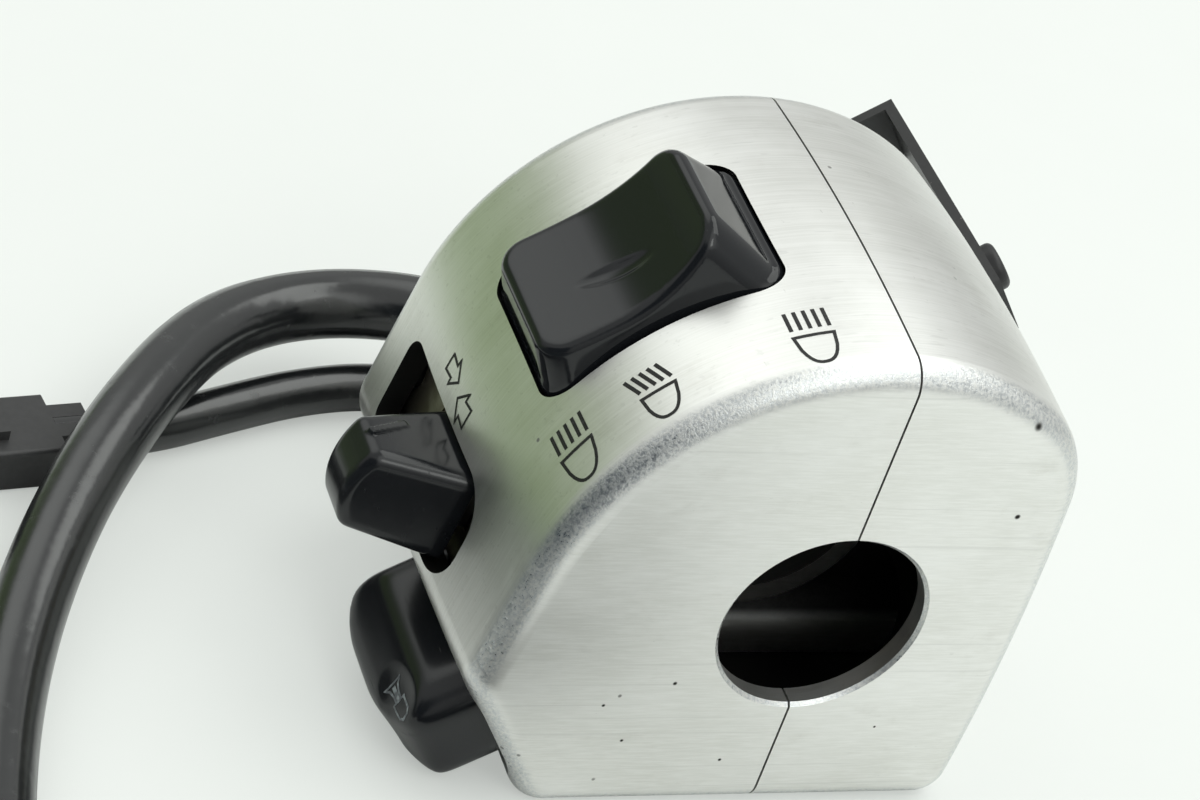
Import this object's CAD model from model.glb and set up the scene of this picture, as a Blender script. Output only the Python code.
import math
import bpy
from mathutils import Matrix, Vector
from mathutils.bvhtree import BVHTree


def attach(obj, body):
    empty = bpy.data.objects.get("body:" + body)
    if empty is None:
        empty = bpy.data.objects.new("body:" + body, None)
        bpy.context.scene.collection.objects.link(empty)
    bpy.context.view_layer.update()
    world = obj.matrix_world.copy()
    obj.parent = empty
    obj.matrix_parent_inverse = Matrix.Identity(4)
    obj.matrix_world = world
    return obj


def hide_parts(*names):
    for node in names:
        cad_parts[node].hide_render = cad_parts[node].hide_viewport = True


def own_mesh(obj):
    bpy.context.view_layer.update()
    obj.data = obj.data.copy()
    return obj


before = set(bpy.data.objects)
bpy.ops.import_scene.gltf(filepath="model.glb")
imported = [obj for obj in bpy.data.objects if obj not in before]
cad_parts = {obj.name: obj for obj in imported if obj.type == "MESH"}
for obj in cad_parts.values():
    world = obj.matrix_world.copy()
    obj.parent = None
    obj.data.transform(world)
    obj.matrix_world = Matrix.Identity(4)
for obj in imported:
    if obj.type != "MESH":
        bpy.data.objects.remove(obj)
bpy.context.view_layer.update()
MM = 0.001

# Share of a pit's or a fold's radius that is at full strength
SPOT_CORE_SHARE = 0.4


class Value:
    """A number that varies over a surface; sums and products of it become Math nodes"""

    def __init__(self, finish, socket):
        self.finish = finish
        self.socket = socket

    def _math(self, operation, first, second=None, clamp=False):
        inputs = {0: first}
        if second is not None:
            inputs[1] = second
        node = self.finish.node("ShaderNodeMath", {"operation": operation, "use_clamp": clamp}, inputs)
        return Value(self.finish, node.outputs[0])

    def __add__(self, other):
        return self._math("ADD", self, other)

    __radd__ = __add__

    def __sub__(self, other):
        return self._math("SUBTRACT", self, other)

    def __rsub__(self, other):
        return self._math("SUBTRACT", other, self)

    def __mul__(self, other):
        return self._math("MULTIPLY", self, other)

    __rmul__ = __mul__

    def __neg__(self):
        return self._math("MULTIPLY", self, -1)

    def __abs__(self):
        return self._math("ABSOLUTE", self)

    def clamped(self):
        return self._math("ADD", self, 0, clamp=True)

    def most(self, other):
        return self._math("MAXIMUM", self, other)

    def rise(self, low, high):
        """0 below low, 1 above high, smooth between"""
        node = self.finish.node("ShaderNodeMapRange", {"interpolation_type": "SMOOTHSTEP"},
                                {"Value": self, "From Min": low, "From Max": high})
        return Value(self.finish, node.outputs[0])


class Finish:
    """The surface of one kind of piece: a Principled shader and the nodes that vary it"""

    def __init__(self, name, **constants):
        self.material = bpy.data.materials.new(name)
        self.material.use_nodes = True
        self.tree = self.material.node_tree
        self.tree.nodes.clear()
        self.output = self.node("ShaderNodeOutputMaterial")
        self.shader = self.node("ShaderNodeBsdfPrincipled")
        for key, number in constants.items():
            self.shader.inputs[key.replace("_", " ")].default_value = number
        self.link(self.shader.outputs[0], self.output.inputs["Surface"])
        coordinates = self.node("ShaderNodeTexCoord")
        self.place = coordinates.outputs["Object"]
        self.normal = coordinates.outputs["Normal"]

    def link(self, start, end):
        self.tree.links.new(start, end)

    def node(self, kind, settings=None, inputs=None):
        """Any node: its type, its settings, then the numbers or links of its sockets"""
        node = self.tree.nodes.new(kind)
        for key, setting in (settings or {}).items():
            setattr(node, key, setting)
        for key, given in (inputs or {}).items():
            socket = node.inputs[key]
            if isinstance(given, Value):
                self.link(given.socket, socket)
            elif isinstance(given, bpy.types.NodeSocket):
                self.link(given, socket)
            else:
                socket.default_value = given
        return node

    def axis(self, index):
        """Distance along X, Y or Z in the object's own frame, in metres"""
        node = self.node("ShaderNodeSeparateXYZ", None, {0: self.place})
        return Value(self, node.outputs[index])

    def facing(self, index):
        """How far the surface faces along X, Y or Z"""
        node = self.node("ShaderNodeSeparateXYZ", None, {0: self.normal})
        return Value(self, node.outputs[index])

    def outward(self):
        """How far the surface faces away from the object's middle, in metres; negative inside a hollow"""
        node = self.node("ShaderNodeVectorMath", {"operation": "DOT_PRODUCT"},
                         {0: self.place, 1: self.normal})
        return Value(self, node.outputs["Value"])

    def stretched(self, per_metre):
        """The place on the object scaled by so many cycles per metre along each axis"""
        node = self.node("ShaderNodeVectorMath", {"operation": "MULTIPLY"}, {0: self.place, 1: per_metre})
        return node.outputs[0]

    def noise(self, per_metre, detail=3.0, rough=0.5):
        node = self.node("ShaderNodeTexNoise", None,
                         {"Vector": self.stretched(per_metre), "Scale": 1.0, "Detail": detail,
                          "Roughness": rough})
        return Value(self, node.outputs[0])

    def specks(self, per_metre):
        """Distance from the nearest of many scattered points"""
        node = self.node("ShaderNodeTexVoronoi", None, {"Vector": self.stretched(per_metre), "Scale": 1.0})
        return Value(self, node.outputs["Distance"])

    def near(self, spot, radius):
        """1 at a spot of the object, 0 beyond radius, in mm"""
        middle = tuple(length * MM for length in spot)
        node = self.node("ShaderNodeVectorMath", {"operation": "DISTANCE"}, {0: self.place, 1: middle})
        return 1 - Value(self, node.outputs["Value"]).rise(radius * MM * SPOT_CORE_SHARE, radius * MM)

    def mix(self, share, low, high):
        """Colour between low and high"""
        node = self.node("ShaderNodeMix", {"data_type": "RGBA"}, {0: share, 6: low, 7: high})
        return node.outputs[2]

    def between(self, share, low, high):
        return low + share * (high - low)

    def feed(self, name, given):
        socket = given.socket if isinstance(given, Value) else given
        self.link(socket, self.shader.inputs[name])

    def relief(self, height, depth, strength):
        """Small relief: height from 0 to 1 stands depth metres proud"""
        node = self.node("ShaderNodeBump", None, {"Height": height, "Distance": depth, "Strength": strength})
        self.link(node.outputs[0], self.shader.inputs["Normal"])


def rgb(red, green, blue):
    return (red, green, blue, 1.0)


# Finishes

# Pits in the casting's inboard end: the place and the radius, in mm
CASTING_PITS = (
    ((24.0, 14.9, 26.6), 0.75), ((24.0, 16.8, 14.9), 0.40), ((24.0, -14.0, -8.0), 0.30),
    ((24.0, -17.5, -16.0), 0.25), ((24.0, -5.5, -19.0), 0.25), ((24.0, 11.0, -14.5), 0.20),
    ((24.0, -21.0, -11.0), 0.25),
)

# How far along the bar from the casing's middle the bore's bare rim starts and is full, and how bare it is
BARE_RIM = (20.5 * MM, 22.0 * MM)
BARE_RIM_SHARE = 0.75

# How far a surface faces outward where the casing's dark inside starts to end and has ended
INSIDE_FADE = (-4 * MM, 2 * MM)


def brushed_casting():
    """Casting polished with a fine belt along the arc, grainy on its rounded ends, dark inside"""
    finish = Finish("brushed_casting", Metallic=1.0, Anisotropic=0.2)
    rim = abs(finish.axis(0)).rise(*BARE_RIM)
    inside = (1 - finish.outward().rise(*INSIDE_FADE)) * (1 - rim * BARE_RIM_SHARE)
    endways = abs(finish.facing(0))
    end_share = endways.rise(0.80, 0.96)
    corner = endways.rise(0.16, 0.45) * (1 - endways.rise(0.86, 0.99))
    arc_lines = finish.noise((4800, 60, 110), detail=5.0, rough=0.7)
    end_lines = finish.noise((200, 260, 4000), detail=5.0, rough=0.7)
    lines = finish.between(end_share, arc_lines, end_lines)
    scratches = finish.noise((1900, 14, 1900), detail=2.0).rise(0.64, 0.72)
    nicks = finish.noise((500, 900, 3000), rough=0.7).rise(0.70, 0.76)
    grain = finish.noise((2700, 2700, 2700), detail=4.0, rough=0.75).rise(0.36, 0.64)
    cloud = finish.noise((80, 50, 80), detail=4.0, rough=0.6).rise(0.3, 0.75)
    stain = finish.noise((210, 130, 210), detail=5.0, rough=0.65).rise(0.55, 0.78)
    pits = 1 - finish.specks((300, 300, 300)).rise(0.05, 0.09)
    rare = finish.noise((130, 130, 130), detail=1.0).rise(0.62, 0.66)
    holes = (pits * rare * 0.6).clamped()
    for spot, radius in CASTING_PITS:
        holes = holes.most(finish.near(spot, radius))
    tone = finish.mix(cloud, rgb(0.74, 0.74, 0.71), rgb(0.83, 0.83, 0.81))
    tone = finish.mix(stain * 0.30, tone, rgb(0.52, 0.51, 0.47))
    tone = finish.mix(lines.rise(0.35, 0.72) * 0.4, tone, rgb(0.97, 0.97, 0.96))
    tone = finish.mix(scratches * 0.35, tone, rgb(0.62, 0.62, 0.60))
    tone = finish.mix(nicks * 0.30, tone, rgb(0.40, 0.40, 0.38))
    tone = finish.mix((corner * (1 - grain) * 0.55).clamped(), tone, rgb(0.42, 0.46, 0.50))
    tone = finish.mix(holes, tone, rgb(0.035, 0.033, 0.03))
    tone = finish.mix(inside, tone, rgb(0.035, 0.035, 0.035))
    finish.feed("Base Color", tone)
    rough = 0.30 + lines * 0.14 + cloud * 0.05 + corner * (grain * 0.16 - 0.12) + holes * 0.3 + inside * 0.3
    finish.feed("Roughness", rough.clamped())
    height = lines * 0.22 + scratches * 0.2 + corner * grain * 1.3 - holes * 2.5 - nicks * 0.6
    finish.relief(height, 0.02 * MM, 0.6)
    return finish.material


def black_moulding(name, rough):
    """Black moulding with faint waviness, dust and hairline marks"""
    finish = Finish(name, IOR=1.44)
    waves = finish.noise((140, 140, 140), detail=2.0)
    dust = finish.noise((3200, 3200, 3200), detail=2.0, rough=0.8).rise(0.68, 0.80)
    hairs = finish.noise((260, 2600, 900), detail=1.0).rise(0.70, 0.76)
    finish.feed("Base Color", finish.mix(dust * 0.25, rgb(0.009, 0.010, 0.012), rgb(0.10, 0.10, 0.10)))
    finish.feed("Roughness", (rough + waves * 0.06 + dust * 0.20 + hairs * 0.10).clamped())
    finish.relief(waves + hairs * 0.02, 0.06 * MM, 0.30)
    return finish.material


# The crease at the harness's bend: place and reach in mm, its fade from its line and how far that wanders
SLEEVE_FOLD = (-46.5, -37.5, -15.0)
SLEEVE_FOLD_REACH = 11.0
SLEEVE_FOLD_FADE = (0.8 * MM, 3.2 * MM)
SLEEVE_FOLD_WANDER = 3 * MM


def vinyl_sleeving():
    """Soft black vinyl tube, slightly wrinkled and dusty, creased once at its bend"""
    finish = Finish("vinyl_sleeving", IOR=1.55, Specular_IOR_Level=0.7)
    wrinkles = finish.noise((170, 170, 260))
    fine = finish.noise((1500, 1500, 1500), detail=2.0)
    fold = finish.near(SLEEVE_FOLD, SLEEVE_FOLD_REACH)
    from_fold = finish.axis(1) - SLEEVE_FOLD[1] * MM
    ring = 1 - abs(from_fold + wrinkles * SLEEVE_FOLD_WANDER).rise(*SLEEVE_FOLD_FADE)
    dust = finish.noise((420, 420, 420), detail=4.0, rough=0.7).rise(0.55, 0.80)
    finish.feed("Base Color", finish.mix(dust * 0.20, rgb(0.010, 0.011, 0.012), rgb(0.075, 0.08, 0.08)))
    finish.feed("Roughness", (0.15 + wrinkles * 0.10 + dust * 0.16).clamped())
    finish.relief(wrinkles * 0.6 + fine * 0.04 + fold * ring * 0.4, 0.4 * MM, 0.4)
    return finish.material


def moulded_rubber():
    """Matt black rubber"""
    finish = Finish("moulded_rubber", IOR=1.47)
    skin = finish.noise((1800, 1800, 1800))
    bloom = finish.noise((260, 260, 260)).rise(0.45, 0.8)
    finish.feed("Base Color", finish.mix(bloom * 0.4, rgb(0.017, 0.017, 0.018), rgb(0.06, 0.06, 0.06)))
    finish.feed("Roughness", (0.55 + skin * 0.15).clamped())
    finish.relief(skin, 0.06 * MM, 0.5)
    return finish.material


def tan_moulding():
    """Tan phenolic board of the switch bases, finely mottled"""
    finish = Finish("tan_moulding", IOR=1.52)
    mottle = finish.noise((900, 900, 900), detail=5.0, rough=0.7)
    tone = finish.mix(mottle.rise(0.35, 0.7), rgb(0.30, 0.19, 0.09), rgb(0.46, 0.32, 0.17))
    finish.feed("Base Color", tone)
    finish.feed("Roughness", (0.45 + mottle * 0.2).clamped())
    finish.relief(mottle, 0.04 * MM, 0.4)
    return finish.material


def black_acetal():
    """Dull black of the sliding pieces and the connectors"""
    finish = Finish("black_acetal", IOR=1.48)
    skin = finish.noise((1400, 1400, 1400))
    finish.feed("Base Color", finish.mix(skin, rgb(0.02, 0.02, 0.021), rgb(0.045, 0.045, 0.046)))
    finish.feed("Roughness", (0.35 + skin * 0.2).clamped())
    finish.relief(skin, 0.03 * MM, 0.4)
    return finish.material


def contact_brass():
    """Brass contacts, lightly tarnished"""
    finish = Finish("contact_brass", Metallic=1.0)
    tarnish = finish.noise((700, 700, 700), detail=4.0, rough=0.65).rise(0.4, 0.75)
    finish.feed("Base Color", finish.mix(tarnish * 0.7, rgb(0.78, 0.57, 0.25), rgb(0.35, 0.24, 0.12)))
    finish.feed("Roughness", (0.25 + tarnish * 0.25).clamped())
    finish.relief(tarnish, 0.01 * MM, 0.4)
    return finish.material


def plated_steel(name, bright, dark, rough):
    """Plated steel with dull patches and fine marks"""
    finish = Finish(name, Metallic=1.0)
    patches = finish.noise((380, 380, 380), detail=4.0, rough=0.6)
    marks = finish.noise((5200, 500, 500), detail=2.0)
    finish.feed("Base Color", finish.mix(patches.rise(0.35, 0.7), dark, bright))
    finish.feed("Roughness", (rough + patches * 0.15 + marks * 0.08).clamped())
    finish.relief(marks * 0.5 + patches * 0.5, 0.01 * MM, 0.5)
    return finish.material


def black_coated_steel():
    """Black paint, chipped in places to dull steel"""
    finish = Finish("black_coated_steel", IOR=1.5)
    chips = finish.noise((1100, 1100, 1100), detail=4.0, rough=0.7).rise(0.68, 0.73)
    skin = finish.noise((1700, 1700, 1700), detail=2.0)
    finish.feed("Base Color", finish.mix(chips, rgb(0.014, 0.014, 0.015), rgb(0.16, 0.15, 0.14)))
    finish.feed("Roughness", (0.38 + skin * 0.15 + chips * 0.2).clamped())
    finish.relief(skin * 0.3 - chips, 0.02 * MM, 0.5)
    return finish.material


def symbol_ink():
    """Black paint of the symbols, a little uneven"""
    finish = Finish("symbol_ink", IOR=1.45)
    patchy = finish.noise((2600, 2600, 2600))
    worn = patchy.rise(0.55, 0.8) * 0.5
    finish.feed("Base Color", finish.mix(worn, rgb(0.012, 0.012, 0.012), rgb(0.07, 0.07, 0.07)))
    finish.feed("Roughness", (0.45 + patchy * 0.2).clamped())
    finish.relief(patchy, 0.01 * MM, 0.4)
    return finish.material


def pale_ink():
    """Worn pale paint of the horn symbol"""
    finish = Finish("pale_ink", IOR=1.45)
    worn = finish.noise((1500, 1500, 1500)).rise(0.40, 0.65)
    finish.feed("Base Color", finish.mix(worn, rgb(0.09, 0.10, 0.11), rgb(0.26, 0.29, 0.30)))
    finish.feed("Roughness", (0.4 + worn * 0.2).clamped())
    finish.relief(worn, 0.01 * MM, 0.4)
    return finish.material


NODE_FINISHES = {
    "casting": ("rider_housing", "front_housing"),
    "gloss": ("beam_rocker",),
    "satin": ("turn_knob", "horn_button"),
    "tan": ("beam_switch_base", "turn_switch_base", "horn_switch_base"),
    "acetal": ("beam_contact_carrier", "turn_slider", "harness_connector", "lead_connector"),
    "brass": ("beam_fixed_contacts", "beam_moving_contact", "turn_fixed_contacts", "turn_moving_contact",
              "horn_fixed_contact", "horn_moving_contact"),
    "screw": ("clamp_screws", "beam_base_screws", "turn_base_screws", "horn_base_screws", "loom_clip_screw",
              "rocker_pin", "beam_detent_ball", "turn_detent_ball"),
    "spring": ("horn_spring", "beam_detent_spring", "turn_detent_spring"),
    "plate": ("turn_guide_plate", "loom_clip"),
    "rubber": ("harness_grommet", "beam_wires", "turn_wires", "horn_wires"),
    "coated": ("cable_clip_strip", "cable_clip_screw"),
}


def dress_nodes():
    """Give every node of the frame its finish"""
    finishes = {
        "casting": brushed_casting(),
        "gloss": black_moulding("gloss_moulding", 0.06),
        "satin": black_moulding("satin_moulding", 0.15),
        "tan": tan_moulding(),
        "acetal": black_acetal(),
        "brass": contact_brass(),
        "screw": plated_steel("plated_screws", rgb(0.62, 0.61, 0.57), rgb(0.42, 0.41, 0.37), 0.28),
        "spring": plated_steel("spring_wire", rgb(0.45, 0.45, 0.45), rgb(0.30, 0.30, 0.31), 0.25),
        "plate": plated_steel("pressed_plate", rgb(0.56, 0.53, 0.44), rgb(0.40, 0.36, 0.28), 0.30),
        "rubber": moulded_rubber(),
        "coated": black_coated_steel(),
    }
    for name, nodes in NODE_FINISHES.items():
        for node in nodes:
            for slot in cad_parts[node].material_slots:
                slot.material = finishes[name]


# Moulded controls

# The rocker's saddle and the long crease that the thumb rests in
SADDLE_OUT = Vector((0, -0.69, 0.7238))
SADDLE_CLEAR_X = 7.0 * MM
SADDLE_SKIN = 0.8 * MM
CREASE_PLACE = Vector((2.0, -23.9, 27.2)) * MM
CREASE_ALONG = Vector((0.18, 0.7120, 0.6788)).normalized()
CREASE_ACROSS = CREASE_ALONG.cross(SADDLE_OUT)
CREASE_LENGTH = 4.8 * MM
CREASE_WIDTH = 1.3 * MM
CREASE_DEPTH = 0.30 * MM
CREASE_FIELD = 6.0 * MM

# The horn's slanted face on the casing, and the slope of the button between its ridge and its crest
HORN_UP = Vector((0, -0.546, 0.8377))
HORN_OUT = Vector((0, -0.8377, -0.546))
HORN_FACE_PLACE = Vector((0, -31.44, -17.06)) * MM
HORN_SLOPE = HORN_UP * 0.84 + HORN_OUT * 0.54
HORN_SLOPE_ACROSS = HORN_UP * 0.54 - HORN_OUT * 0.84
HORN_OVAL_PLACE = HORN_FACE_PLACE + (Vector((16.3, 0, 0)) + HORN_UP * 4.35 + HORN_OUT * 6.9) * MM
HORN_OVAL_LENGTH = 4.6 * MM
HORN_OVAL_WIDTH = 3.0 * MM
HORN_OVAL_DEPTH = 0.28 * MM
HORN_OVAL_REACH = 2.0 * MM

# The grain of each control's even skin, and the smoothing passes that soften its edges
ROCKER_SOFTNESS = (0.22 * MM, 16)
KNOB_SOFTNESS = (0.11 * MM, 12)
BUTTON_SOFTNESS = (0.28 * MM, 110)
SMOOTHING_FACTOR = 0.5

# How far outside a control a line starts that looks for its surface
OUTSIDE_CONTROL = 10 * MM


def surface_of(piece):
    """Lookup of a piece's surface"""
    mesh = piece.data
    corners = [vertex.co for vertex in mesh.vertices]
    return BVHTree.FromPolygons(corners, [tuple(face.vertices) for face in mesh.polygons])


def soften(node, name, body, grain, passes):
    """The moulded control with the soft edges of the real one, made from the solid's own form"""
    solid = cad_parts[node]
    mesh = solid.data.copy()
    mesh.name = name
    piece = bpy.data.objects.new(name, mesh)
    bpy.context.collection.objects.link(piece)
    remesh = piece.modifiers.new("even_skin", "REMESH")
    remesh.mode = "VOXEL"
    remesh.voxel_size = grain
    remesh.use_smooth_shade = True
    ease = piece.modifiers.new("soft_edges", "SMOOTH")
    ease.factor = SMOOTHING_FACTOR
    ease.iterations = passes
    bpy.context.view_layer.update()
    softened = piece.evaluated_get(bpy.context.evaluated_depsgraph_get())
    skin = bpy.data.meshes.new_from_object(softened)
    piece.modifiers.clear()
    piece.data = skin
    for slot in piece.material_slots:
        slot.material = solid.material_slots[0].material
    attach(piece, body)
    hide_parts(node)
    return piece


def oval_hollow(along, across):
    """Depth of an oval hollow from 1 in its middle to 0 at its edge, where along or across is 1"""
    share = 1 - min(1, along**2 + across**2)
    return share**2 * (3 - 2 * share)


def crease_saddle(rocker):
    """Level the solid's short dimple with the saddle beside it and press the long crease"""
    surface = surface_of(rocker)
    for vertex in rocker.data.vertices:
        away = vertex.co - CREASE_PLACE
        if not (abs(away.x) < CREASE_FIELD and abs(away.dot(CREASE_ALONG)) < CREASE_LENGTH):
            continue
        beside = Vector((SADDLE_CLEAR_X, vertex.co.y, vertex.co.z)) + SADDLE_OUT * OUTSIDE_CONTROL
        hit = surface.ray_cast(beside, -SADDLE_OUT)[0]
        if hit is None:
            continue
        level = (hit - vertex.co).dot(SADDLE_OUT)
        if level > SADDLE_SKIN:
            continue
        hollow = oval_hollow(away.dot(CREASE_ALONG) / CREASE_LENGTH, away.dot(CREASE_ACROSS) / CREASE_WIDTH)
        vertex.co += SADDLE_OUT * (level - CREASE_DEPTH * hollow)


def press_oval(button):
    """Press the shallow oval of the horn symbol into the button's slope"""
    for vertex in button.data.vertices:
        away = vertex.co - HORN_OVAL_PLACE
        if away.dot(HORN_SLOPE) < -HORN_OVAL_REACH:
            continue
        hollow = oval_hollow(away.x / HORN_OVAL_LENGTH, away.dot(HORN_SLOPE_ACROSS) / HORN_OVAL_WIDTH)
        vertex.co -= HORN_SLOPE * (HORN_OVAL_DEPTH * hollow)


def soften_controls():
    """Soften the three controls, and give back the horn button for its symbol"""
    rocker = soften("beam_rocker", "beam_rocker_moulding", "rocker", *ROCKER_SOFTNESS)
    knob = soften("turn_knob", "turn_knob_moulding", "turn_lever", *KNOB_SOFTNESS)
    button = soften("horn_button", "horn_button_moulding", "horn_plunger", *BUTTON_SOFTNESS)
    press_oval(button)
    crease_saddle(rocker)
    return button


def shorten_spring():
    """The horn's return spring, which stands on its base and shortens as the button goes in"""
    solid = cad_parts["horn_spring"]
    piece = bpy.data.objects.new("horn_return_spring", solid.data.copy())
    bpy.context.collection.objects.link(piece)
    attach(piece, "housing")
    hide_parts("horn_spring")
    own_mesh(piece)


# Symbols: strokes drawn flat in mm, with x along the bar and up round the casing's back, then laid on

CASING_BACK_RADIUS = 33.4
CASING_BACK_Y = -1.3 * MM
CASING_BACK_Z = 0.5 * MM
MM_PER_DEGREE = math.radians(1) * CASING_BACK_RADIUS
OUTSIDE_CASING = 60 * MM
INK_PROUD = 0.03 * MM
STROKE_STEP = 0.35
LEAST_MITRE = 0.55

# Headlamp symbols: the x of the beam lines and of the lamp, the angles between which they stand above
# straight back, and how many degrees lower the lines' far ends are
HIGH_BEAM = {"lines": (14.1, 16.6), "lamp": (17.5, 21.2), "angles": (71.6, 78.9), "slant": 0}
LOW_BEAM = {"lines": (14.1, 16.4), "lamp": (17.2, 20.6), "angles": (43.8, 50.4), "slant": 1.7}
PASSING_BEAM = {"lines": (13.4, 16.0), "lamp": (16.9, 20.8), "angles": (26.0, 33.2), "slant": 0}
BEAM_LINES = 5
BEAM_LINE_WIDTH = 0.42
BEAM_LINE_INSET = 0.25 * MM_PER_DEGREE
LAMP_LINE_WIDTH = 0.36
LAMP_STEPS = 16
LAMP_SIDE_POWER = 2.6
LAMP_NOSE_POWER = 0.62

# Turn arrows: the x of the tail and of the tip, and the angles between which each stands; then where the
# head starts, as a share of the length, and the tail's and the neck's shares of the height
OUTBOARD_ARROW = {"tail": -7.2, "tip": -3.7, "angles": (10.0, 15.5)}
INBOARD_ARROW = {"tail": 1.0, "tip": -2.4, "angles": (7.8, 14.3)}
ARROW_LINE_WIDTH = 0.30
ARROW_HEAD_SHARE = 0.50
ARROW_TAIL_SHARE = 0.62
ARROW_NECK_SHARE = 0.50

# Upper half of the horn's outline, from its bell to its body: x and height
HORN_HALF_OUTLINE = (
    (14.2, 1.25), (14.7, 0.70), (15.7, 0.40), (16.6, 0.40), (16.6, 0.85), (18.3, 0.85), (18.8, 0.45),
)
HORN_NECK = ((14.6, 0), (16.8, 0))
HORN_LINE_WIDTH = 0.26
HORN_NECK_WIDTH = 0.5


def ink_point(surface, outside, out):
    """The point of a surface straight in from a place outside it, lifted a little proud"""
    hit, normal = surface.ray_cast(outside, -out)[:2]
    return hit + normal * INK_PROUD


def stroke_points(corners, closed):
    """Points a short step apart through the corners of a stroke"""
    corners = [Vector(corner) for corner in corners]
    if closed:
        corners.append(corners[0])
    points = [corners[0]]
    for start, end in zip(corners, corners[1:]):
        steps = max(1, math.ceil((end - start).length / STROKE_STEP))
        points += [start.lerp(end, step / steps) for step in range(1, steps + 1)]
    if closed:
        points.pop()
    return points


def ink_stroke(corners, closed, width, place):
    """Flat stroke through corners: one quad per short step, its corners laid on with place(x, up)"""
    points = stroke_points(corners, closed)
    count = len(points)
    verts = []
    for index, point in enumerate(points):
        before = points[index - 1] if closed or index else point
        after = points[(index + 1) % count] if closed or index < count - 1 else point
        along = (after - before).normalized()
        arriving = (point - before).normalized() if (point - before).length else along
        mitre = max(LEAST_MITRE, along.dot(arriving))
        across = Vector((-along.y, along.x)) * (width / 2 / mitre)
        for side in (-1, 1):
            edge = point + across * side
            verts.append(place(edge.x, edge.y))
    faces = []
    for index in range(count if closed else count - 1):
        here = 2 * index
        there = 2 * ((index + 1) % count)
        faces.append((here, here + 1, there + 1, there))
    return verts, faces


def ink_piece(name, strokes, place, material, body):
    """One mesh of painted strokes that rides on a body"""
    verts = []
    faces = []
    for corners, closed, width in strokes:
        stroke_verts, stroke_faces = ink_stroke(corners, closed, width, place)
        base = len(verts)
        verts += stroke_verts
        faces += [tuple(base + corner for corner in face) for face in stroke_faces]
    mesh = bpy.data.meshes.new(name)
    mesh.from_pydata(verts, [], faces)
    piece = bpy.data.objects.new(name, mesh)
    bpy.context.collection.objects.link(piece)
    mesh.materials.append(material)
    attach(piece, body)


def lamp_strokes(lines, lamp, angles, slant):
    """Beam lines and the lamp's rounded outline"""
    low, high = (angle * MM_PER_DEGREE for angle in angles)
    strokes = []
    first = low + BEAM_LINE_INSET
    last = high - BEAM_LINE_INSET
    for step in range(BEAM_LINES):
        up = first + (last - first) * step / (BEAM_LINES - 1)
        ends = [(lines[0], up - slant * MM_PER_DEGREE), (lines[1], up)]
        strokes.append((ends, False, BEAM_LINE_WIDTH))
    middle = (low + high) / 2
    half = (high - low) / 2
    start, nose = lamp
    outline = [(start, middle - half), (start, middle + half)]
    for step in range(1, LAMP_STEPS):
        share = -1 + 2 * step / LAMP_STEPS
        bulge = (1 - abs(share) ** LAMP_SIDE_POWER) ** LAMP_NOSE_POWER
        outline.append((start + (nose - start) * bulge, middle - half * share))
    strokes.append((outline, True, LAMP_LINE_WIDTH))
    return strokes


def arrow_strokes(tail, tip, angles):
    """Hollow arrow from tail to tip"""
    low, high = (angle * MM_PER_DEGREE for angle in angles)
    middle = (low + high) / 2
    half = (high - low) / 2
    neck = tail + (tip - tail) * ARROW_HEAD_SHARE
    tail_half = half * ARROW_TAIL_SHARE
    neck_half = half * ARROW_NECK_SHARE
    outline = [(tail, middle - tail_half), (tail, middle + tail_half), (neck, middle + neck_half),
               (neck, middle + half), (tip, middle), (neck, middle - half), (neck, middle - neck_half)]
    return [(outline, True, ARROW_LINE_WIDTH)]


def paint_symbols():
    """The casing's headlamp symbols and turn arrows"""
    surface = surface_of(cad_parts["rider_housing"])
    ink = symbol_ink()

    def place(x, up):
        turn = up / CASING_BACK_RADIUS
        out = Vector((0, -math.cos(turn), math.sin(turn)))
        middle = Vector((x * MM, CASING_BACK_Y, CASING_BACK_Z))
        return ink_point(surface, middle + out * OUTSIDE_CASING, out)

    ink_piece("high_beam_symbol", lamp_strokes(**HIGH_BEAM), place, ink, "housing")
    ink_piece("low_beam_symbol", lamp_strokes(**LOW_BEAM), place, ink, "housing")
    ink_piece("passing_symbol", lamp_strokes(**PASSING_BEAM), place, ink, "housing")
    arrows = arrow_strokes(**OUTBOARD_ARROW) + arrow_strokes(**INBOARD_ARROW)
    ink_piece("turn_symbol", arrows, place, ink, "housing")


def paint_horn_symbol(button):
    """Trumpet with its bell outboard, in worn pale paint in the button's oval"""
    surface = surface_of(button)

    def place(x, up):
        flat = Vector((x * MM, HORN_OVAL_PLACE.y, HORN_OVAL_PLACE.z)) + HORN_SLOPE_ACROSS * (up * MM)
        return ink_point(surface, flat + HORN_SLOPE * OUTSIDE_CONTROL, HORN_SLOPE)

    lower_half = [(x, -up) for x, up in reversed(HORN_HALF_OUTLINE)]
    strokes = [(list(HORN_HALF_OUTLINE) + lower_half, True, HORN_LINE_WIDTH),
               (HORN_NECK, False, HORN_NECK_WIDTH)]
    ink_piece("horn_symbol", strokes, place, pale_ink(), "horn_plunger")


# Cables

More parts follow.
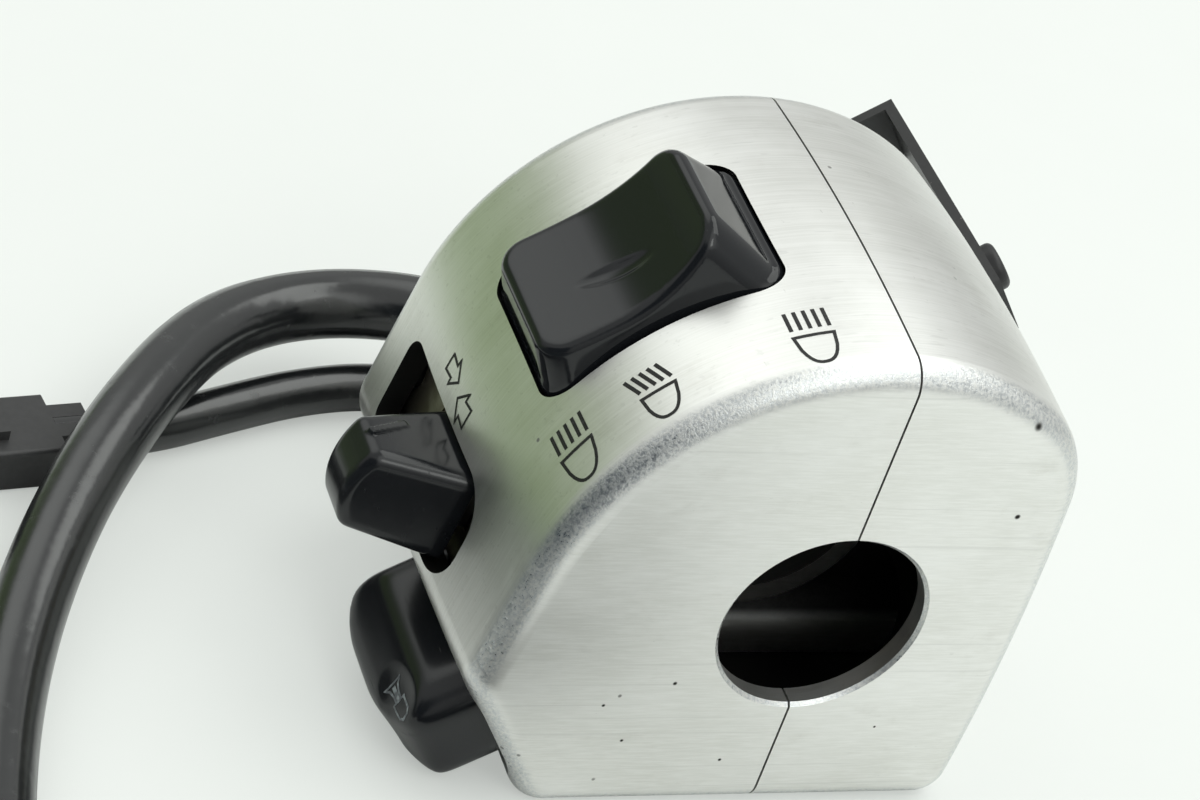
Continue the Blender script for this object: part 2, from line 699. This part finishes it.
# The cables' routes, in mm
HARNESS_ROUTE = (
    (-20.6, -13.0, -10.8), (-34.0, -13.0, -10.8), (-44.6, -20.3, -14.2), (-48.4, -33.4, -16.8),
    (-42.0, -46.8, -16.2), (-27.3, -58.5, -15.7), (-12.5, -68.4, -18.6), (5.5, -76.6, -21.5),
    (26.5, -82.2, -21.9), (49.5, -85.0, -21.7), (73.5, -84.8, -21.9), (99.8, -82.2, -21.7),
    (119.3, -73.2, -21.9), (132.7, -56.4, -21.7), (137.0, -35.4, -21.9), (131.2, -14.7, -21.7),
    (116.7, 1.1, -21.9), (96.6, 8.7, -21.7), (75.3, 6.2, -21.9), (57.4, -5.6, -21.7),
    (46.8, -24.3, -21.9), (46.1, -39.4, -21.9),
)
LEAD_ROUTE = (
    (-20.6, -13.0, -19.4), (-31.4, -13.0, -19.4), (-38.2, -17.2, -22.4), (-41.2, -25.2, -23.1),
    (-39.8, -35.0, -23.2), (-36.0, -45.0, -23.1), (-32.0, -55.2, -23.2), (-30.4, -65.6, -23.2),
)
HARNESS_RADIUS = 4.0 * MM
LEAD_RADIUS = 2.75 * MM
CABLE_ROUND_STEPS = 8
CABLE_RUN_STEPS = 12


def cable(name, route, radius, material):
    """Round cable on one smooth curve that follows a hand-chosen route"""
    curve = bpy.data.curves.new(name, "CURVE")
    curve.dimensions = "3D"
    curve.bevel_depth = radius
    curve.bevel_resolution = CABLE_ROUND_STEPS
    curve.use_fill_caps = True
    spline = curve.splines.new("NURBS")
    spline.points.add(len(route) - 1)
    for point, (x, y, z) in zip(spline.points, route):
        point.co = (x * MM, y * MM, z * MM, 1.0)
    spline.order_u = 3
    spline.use_endpoint_u = True
    spline.resolution_u = CABLE_RUN_STEPS
    curve.materials.append(material)
    piece = bpy.data.objects.new(name, curve)
    bpy.context.collection.objects.link(piece)
    return piece


def lay_cables():
    """The harness and the switch lead, which leave the casing and end in their connectors"""
    vinyl = vinyl_sleeving()
    harness = cable("harness_cable", HARNESS_ROUTE, HARNESS_RADIUS, vinyl)
    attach(harness, "housing")
    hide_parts("harness_sleeve")
    tuple(c * MM for c in HARNESS_ROUTE[0])
    lead = cable("lead_cable", LEAD_ROUTE, LEAD_RADIUS, vinyl)
    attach(lead, "housing")
    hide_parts("switch_lead")
    tuple(c * MM for c in LEAD_ROUTE[0])


# Floor, light and camera

FLOOR_Z = -26.0 * MM
FLOOR_REACH = 2.5
FLOOR_GLOW_SHARE = 0.45

# In mirrors, where the floor starts and ends darkening towards the rider, and turning green outboard
FLOOR_DARKENS = (76 * MM, 108 * MM)
FLOOR_GREENS = (0, 90 * MM)


def floor():
    """Pale table, which mirrors show darkening towards the rider and turning green outboard"""
    mesh = bpy.data.meshes.new("floor")
    corners = ((-1, -1), (1, -1), (1, 1), (-1, 1))
    mesh.from_pydata([(x * FLOOR_REACH, y * FLOOR_REACH, FLOOR_Z) for x, y in corners], [], [(0, 1, 2, 3)])
    piece = bpy.data.objects.new("floor", mesh)
    bpy.context.collection.objects.link(piece)
    finish = Finish("pale_table", Roughness=0.6)
    light_path = finish.node("ShaderNodeLightPath")
    seen = Value(finish, light_path.outputs["Is Camera Ray"])
    mirrored = Value(finish, light_path.outputs["Is Glossy Ray"])
    dark = (-finish.axis(1)).rise(*FLOOR_DARKENS)
    green = (-finish.axis(0)).rise(*FLOOR_GREENS)
    far_tone = finish.mix(green, rgb(0.05, 0.065, 0.075), rgb(0.17, 0.25, 0.09))
    grain = finish.noise((60, 60, 60))
    table_tone = finish.mix(grain, rgb(0.83, 0.85, 0.83), rgb(0.86, 0.88, 0.86))
    finish.feed("Base Color", finish.mix(mirrored * dark, table_tone, far_tone))
    glow = finish.node("ShaderNodeEmission", None, {"Color": rgb(0.885, 0.925, 0.885), "Strength": 1.0})
    blend = finish.node("ShaderNodeMixShader", None,
                        {0: seen * FLOOR_GLOW_SHARE, 1: finish.shader.outputs[0], 2: glow.outputs[0]})
    finish.link(blend.outputs[0], finish.output.inputs["Surface"])
    mesh.materials.append(finish.material)


class Sky(Finish):
    """The room's light, from the world's own direction"""

    def __init__(self, world):
        self.tree = world.node_tree
        self.tree.nodes.clear()
        self.output = self.node("ShaderNodeOutputWorld")
        self.background = self.node("ShaderNodeBackground")
        self.link(self.background.outputs[0], self.output.inputs["Surface"])
        self.place = self.node("ShaderNodeTexCoord").outputs["Generated"]

    def patch(self, spots):
        """1 towards any of the spots, each a direction and the cosines where it starts and is full"""
        share = None
        for direction, edge, full in spots:
            unit = tuple(Vector(direction).normalized())
            node = self.node("ShaderNodeVectorMath", {"operation": "DOT_PRODUCT"}, {0: self.place, 1: unit})
            spot = Value(self, node.outputs["Value"]).rise(edge, full)
            share = spot if share is None else share.most(spot)
        return share


# Patches of the room's light: the direction of each spot, and the cosines where it starts and is full
BRIGHT_CEILING = (((-0.60, -0.28, 0.74), 0.88, 0.985), ((0.62, 0.14, 0.77), 0.84, 0.97))
GREEN_SIDE = (((-0.70, -0.70, 0.03), 0.92, 0.985), ((-0.80, -0.56, 0.14), 0.93, 0.985))
DARK_SIDE = (((0.34, -0.93, 0.12), 0.84, 0.95), ((0.62, -0.72, 0.26), 0.85, 0.96))
WALL_TO_CEILING = (-0.10, 0.60)
ROOM_STRENGTH = 0.9


def room():
    """Pale room with a brighter ceiling, a green side outboard and a dark side towards the rider"""
    world = bpy.data.worlds.new("room")
    world.use_nodes = True
    bpy.context.scene.world = world
    sky = Sky(world)
    height = sky.axis(2).rise(*WALL_TO_CEILING)
    tone = sky.mix(height, rgb(0.44, 0.45, 0.435), rgb(0.80, 0.82, 0.80))
    tone = sky.mix(sky.patch(BRIGHT_CEILING), tone, rgb(1.7, 1.75, 1.7))
    tone = sky.mix(sky.patch(GREEN_SIDE) * 0.9, tone, rgb(0.21, 0.31, 0.11))
    tone = sky.mix(sky.patch(DARK_SIDE) * 0.95, tone, rgb(0.03, 0.042, 0.055))
    sky.link(tone, sky.background.inputs["Color"])
    sky.background.inputs["Strength"].default_value = ROOM_STRENGTH


def area_lamp(name, place, size, watts, colour):
    """Area lamp that faces the casing"""
    light = bpy.data.lights.new(name, "AREA")
    light.shape = "RECTANGLE"
    light.size, light.size_y = size
    light.energy = watts
    light.color = colour
    piece = bpy.data.objects.new(name, light)
    piece.location = place
    piece.rotation_euler = (-Vector(place)).to_track_quat("-Z", "Y").to_euler()
    bpy.context.collection.objects.link(piece)


def lights():
    """A broad window above the front and a small skylight above the inboard end"""
    area_lamp("window", place=(-0.08, 0.42, 0.88), size=(0.9, 0.6), watts=3.3, colour=(0.97, 1.0, 0.965))
    area_lamp("skylight", place=(0.72, 0.12, 0.68), size=(0.25, 0.25), watts=0.6, colour=(0.97, 1.0, 0.97))


# The photograph's viewpoint, fitted to the bore's ellipse and the casing's straight edges
CAMERA_DOWN = (0.6389519, 0.0245287, -0.7688555)
CAMERA_AHEAD = (-0.7120139, 0.3971714, -0.5790432)
CAMERA_PLACE = Vector((262.33743, -166.03438, 222.45325)) * MM
SENSOR_WIDTH = 36.0
LENS = 108.0
CLIP_START = 0.01
CLIP_END = 20.0


def camera():
    """Camera at the photograph's viewpoint"""
    data = bpy.data.cameras.new("camera")
    data.sensor_fit = "HORIZONTAL"
    data.sensor_width = SENSOR_WIDTH
    data.lens = LENS
    data.clip_start = CLIP_START
    data.clip_end = CLIP_END
    piece = bpy.data.objects.new("camera", data)
    bpy.context.collection.objects.link(piece)
    back = -Vector(CAMERA_AHEAD).normalized()
    right = (-Vector(CAMERA_DOWN)).cross(back).normalized()
    up = back.cross(right)
    turn = Matrix((right, up, back)).transposed().to_4x4()
    piece.matrix_world = Matrix.Translation(CAMERA_PLACE) @ turn
    bpy.context.scene.camera = piece


camera()
floor()
room()
lights()
dress_nodes()
horn_button = soften_controls()
shorten_spring()
lay_cables()
paint_symbols()
paint_horn_symbol(horn_button)

bpy.context.scene.view_settings.view_transform = "Standard"
